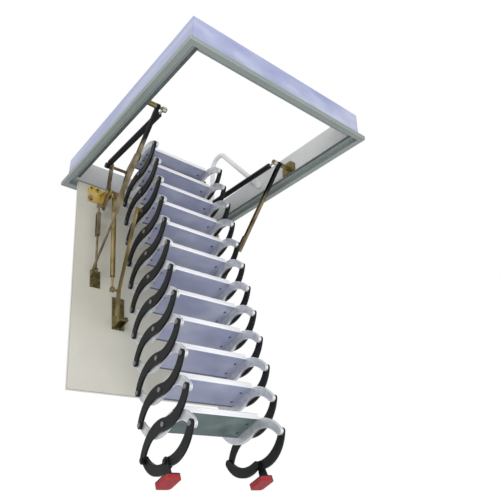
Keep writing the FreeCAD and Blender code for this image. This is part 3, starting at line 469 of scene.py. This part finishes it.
vinyl, tree, body, place = finish("grey_edge_vinyl", "5B6176", {"IOR": 1.5})
surface(tree, body, grain(tree, place, 0.003), (0.45, 0.65), 0.0001)
STRIP = [
    (-0.0065, -0.0001), (-0.0055, -0.0007), (-0.0008, -0.0007),
    (0.0006, 0.0004), (0.0006, 0.0035), (0.0, 0.0042),
]
SCREW_SPOTS = [(0.121, -0.022), (0.121, 0.030)]
COUNTERSUNK = [(0.0046, 0.0), (0.0040, 0.0006), (0.0022, 0.0008), (0.0018, -0.0004), (0.00001, -0.0004)]
screw_black = enamel("black_oxide_screw", "1C1E20", "2E3033", (0.3, 0.45))
for stage in range(12):
    label = "%02d" % (stage + 1)
    ends = [(-TREAD_HALF, y, z) for y, z in STRIP], [(TREAD_HALF, y, z) for y, z in STRIP]
    strip = np.array(ends) + np.array([0, TREAD_BACK, UNDERSIDE])
    piece("tread_strip_" + label, [on_tread(stage, strip)], vinyl, "silver_" + label, False)
    down = on_tread(stage, [0, 0, -1]) - on_tread(stage, [0, 0, 0])
    heads = []
    for x, y in SCREW_SPOTS:
        for side in (-1, 1):
            spot = on_tread(stage, [side * x, y, UNDERSIDE])
            heads.append(turned(COUNTERSUNK, spot, down, np.array([1.0, 0, 0])))
    piece("tread_screws_" + label, heads, screw_black, "silver_" + label, True)

# ---- Foot pads ---------------------------------------------------------------------------
# Moulded rubber soles, dark red with a dusty matt grain.

PAD_TONES = [(0.3, "7C0C14"), (0.55, "96141D"), (0.8, "A8242B")]
pad_red, tree, body, place = finish("moulded_red_rubber", "8C161F", {"IOR": 1.52})
dust = grain(tree, place, 0.008)
tone = add(tree, "ShaderNodeValToRGB", {"Fac": dust, "stops": PAD_TONES})
tree.links.new(tone.outputs[0], body.inputs["Base Color"])
surface(tree, body, dust, (0.5, 0.75), 0.0003)
give(pad_red, "foot_pads")

# ---- Floor, backdrop and light -----------------------------------------------------------
# A plain pale floor below the foot of the fully opened ladder, a white backdrop, and three soft
# lamps round the object.

LADDER_OPENS = 1.6
FLOOR_Z = cad_low.z - LADDER_OPENS
FLOOR_HALF = 30.0
WORLD_LIGHT, WORLD_SEEN = 0.8, 1.0
floor_mesh = bpy.data.meshes.new("floor")
corners = [(x * FLOOR_HALF, y * FLOOR_HALF, FLOOR_Z) for x, y in ((-1, -1), (1, -1), (1, 1), (-1, 1))]
floor_mesh.from_pydata(corners, [], [(0, 1, 2, 3)])
floor = bpy.data.objects.new("floor", floor_mesh)
bpy.context.scene.collection.objects.link(floor)
floor_mesh.materials.append(finish("pale_floor", "F4F4F4", {"Roughness": 0.9})[0])

world = bpy.data.worlds.new("studio")
world.use_nodes = True
tree = world.node_tree
seen = add(tree, "ShaderNodeLightPath", {}).outputs["Is Camera Ray"]
settings = {"Value": seen, "To Min": WORLD_LIGHT, "To Max": WORLD_SEEN}
strength = add(tree, "ShaderNodeMapRange", settings).outputs[0]
tree.links.new(strength, tree.nodes["Background"].inputs["Strength"])
tree.nodes["Background"].inputs["Color"].default_value = colour("FFFFFF")
bpy.context.scene.world = world


def lamp(name, spot, target, power, across):
    """A square area lamp at a spot, aimed at a target."""
    data = bpy.data.lights.new(name, "AREA")
    data.energy = power
    data.size = across
    made = bpy.data.objects.new(name, data)
    made.location = spot
    made.rotation_euler = (Vector(target) - Vector(spot)).to_track_quat("-Z", "Y").to_euler()
    bpy.context.scene.collection.objects.link(made)


middle = (cad_low + cad_high) / 2
lamp("key", (-2.6, -2.2, 0.4), middle, 44, 2.0)
lamp("fill", (2.4, -2.6, -0.6), middle, 16, 2.4)
lamp("rise", (-0.6, -1.6, -1.3), middle, 10, 1.6)

# ---- Camera ------------------------------------------------------------------------------
# Below and in front of the ladder's left side, looking up into the hatch.

EYE = Vector((-0.908, -1.378, -1.146))
YAW = math.radians(39.17)
CLIMB = math.radians(25.5)
ROLL = math.radians(-0.67)
FILM_WIDE, LENS = 36, 37.98
ahead = Vector((math.sin(YAW) * math.cos(CLIMB), math.cos(YAW) * math.cos(CLIMB), math.sin(CLIMB)))
level = Vector((math.cos(YAW), -math.sin(YAW), 0))
upright = level.cross(ahead)
right = math.cos(ROLL) * level + math.sin(ROLL) * upright
above = -math.sin(ROLL) * level + math.cos(ROLL) * upright
camera = bpy.data.objects.new("camera", bpy.data.cameras.new("camera"))
camera.data.sensor_width = FILM_WIDE
camera.data.lens = LENS
camera.data.clip_start = 0.05
camera.matrix_world = Matrix((
    (right.x, above.x, -ahead.x, EYE.x),
    (right.y, above.y, -ahead.y, EYE.y),
    (right.z, above.z, -ahead.z, EYE.z),
    (0, 0, 0, 1),
))
bpy.context.scene.collection.objects.link(camera)
bpy.context.scene.camera = camera
bpy.context.scene.view_settings.view_transform = "Standard"
